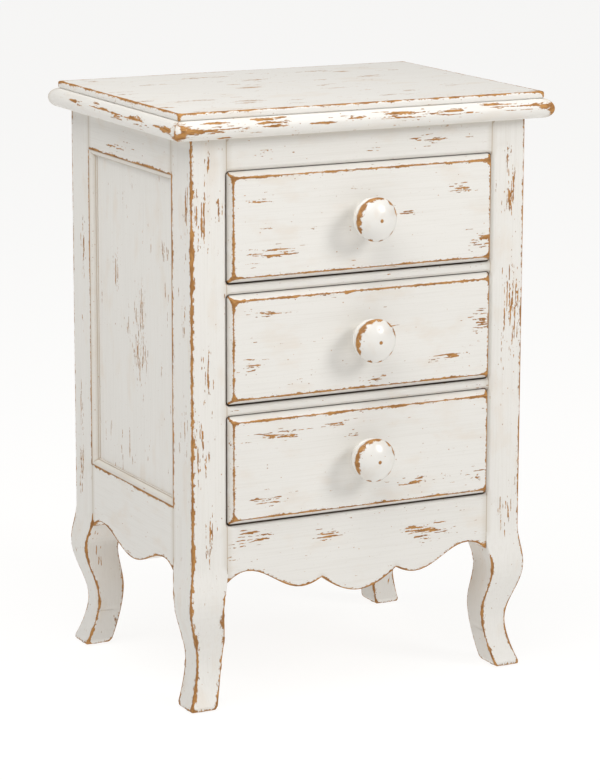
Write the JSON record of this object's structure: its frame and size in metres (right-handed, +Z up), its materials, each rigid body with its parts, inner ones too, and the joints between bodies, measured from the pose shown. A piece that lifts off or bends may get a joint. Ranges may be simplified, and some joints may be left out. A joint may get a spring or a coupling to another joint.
{
  "type": "nightstand",
  "caption": "Small wooden nightstand with sliding drawers, round knobs, a moulded top, panelled sides, a scalloped apron and curved legs.",
  "frame": {"origin": "on the floor under the middle of the whole object's box, knobs included", "axes": "+X to the right seen from the front, -Y towards the front and the way the drawers open, +Z up"},
  "size_m": [0.498, 0.399, 0.711],
  "materials": {
    "painted_wood": "antique white paint, satin, rubbed through to tan wood along edges and grain",
    "painted_knob": "antique white paint, semi-gloss, rubbed through at the rim",
    "bare_wood": "unpainted wood, sawn and sanded",
    "drawer_wood": "unpainted wood, planed",
    "screw_steel": "zinc-plated steel",
    "glide_plastic": "dark brown nylon"
  },
  "bodies": {
    "case": {"leg_front_left": "painted_wood", "leg_front_right": "painted_wood", "leg_rear_left": "painted_wood", "leg_rear_right": "painted_wood", "top_board": "painted_wood", "top_moulding_front": "painted_wood", "top_moulding_back": "painted_wood", "top_moulding_left": "painted_wood", "top_moulding_right": "painted_wood", "front_top_rail": "painted_wood", "front_rail_upper": "painted_wood", "front_rail_lower": "painted_wood", "front_apron": "painted_wood", "side_top_rail_left": "painted_wood", "side_top_rail_right": "painted_wood", "side_apron_left": "painted_wood", "side_apron_right": "painted_wood", "side_panel_left": "painted_wood", "side_panel_right": "painted_wood", "side_moulding_left": "painted_wood", "side_moulding_right": "painted_wood", "back_panel": "bare_wood", "back_top_rail": "bare_wood", "back_bottom_rail": "bare_wood", "runner_bottom_left": "bare_wood", "runner_bottom_right": "bare_wood", "runner_middle_left": "bare_wood", "runner_middle_right": "bare_wood", "runner_top_left": "bare_wood", "runner_top_right": "bare_wood", "kicker_left": "bare_wood", "kicker_right": "bare_wood", "drawer_stops": "bare_wood", "corner_blocks": "bare_wood", "top_screws": "screw_steel", "runner_screws": "screw_steel", "back_screws": "screw_steel", "foot_glides": "glide_plastic"},
    "drawer_top": {"drawer_top_front": "painted_wood", "drawer_top_side_left": "drawer_wood", "drawer_top_side_right": "drawer_wood", "drawer_top_back": "drawer_wood", "drawer_top_bottom": "drawer_wood", "drawer_top_knob": "painted_knob", "drawer_top_knob_screw": "screw_steel"},
    "drawer_middle": {"drawer_middle_front": "painted_wood", "drawer_middle_side_left": "drawer_wood", "drawer_middle_side_right": "drawer_wood", "drawer_middle_back": "drawer_wood", "drawer_middle_bottom": "drawer_wood", "drawer_middle_knob": "painted_knob", "drawer_middle_knob_screw": "screw_steel"},
    "drawer_bottom": {"drawer_bottom_front": "painted_wood", "drawer_bottom_side_left": "drawer_wood", "drawer_bottom_side_right": "drawer_wood", "drawer_bottom_back": "drawer_wood", "drawer_bottom_bottom": "drawer_wood", "drawer_bottom_knob": "painted_knob", "drawer_bottom_knob_screw": "screw_steel"}
  },
  "joints": [
    {"name": "drawer_top_slide", "type": "slide", "parent": "case", "child": "drawer_top", "axis": [0, -1, 0], "range_m": [0, 0.21]},
    {"name": "drawer_middle_slide", "type": "slide", "parent": "case", "child": "drawer_middle", "axis": [0, -1, 0], "range_m": [0, 0.21]},
    {"name": "drawer_bottom_slide", "type": "slide", "parent": "case", "child": "drawer_bottom", "axis": [0, -1, 0], "range_m": [0, 0.21]}
  ]
}
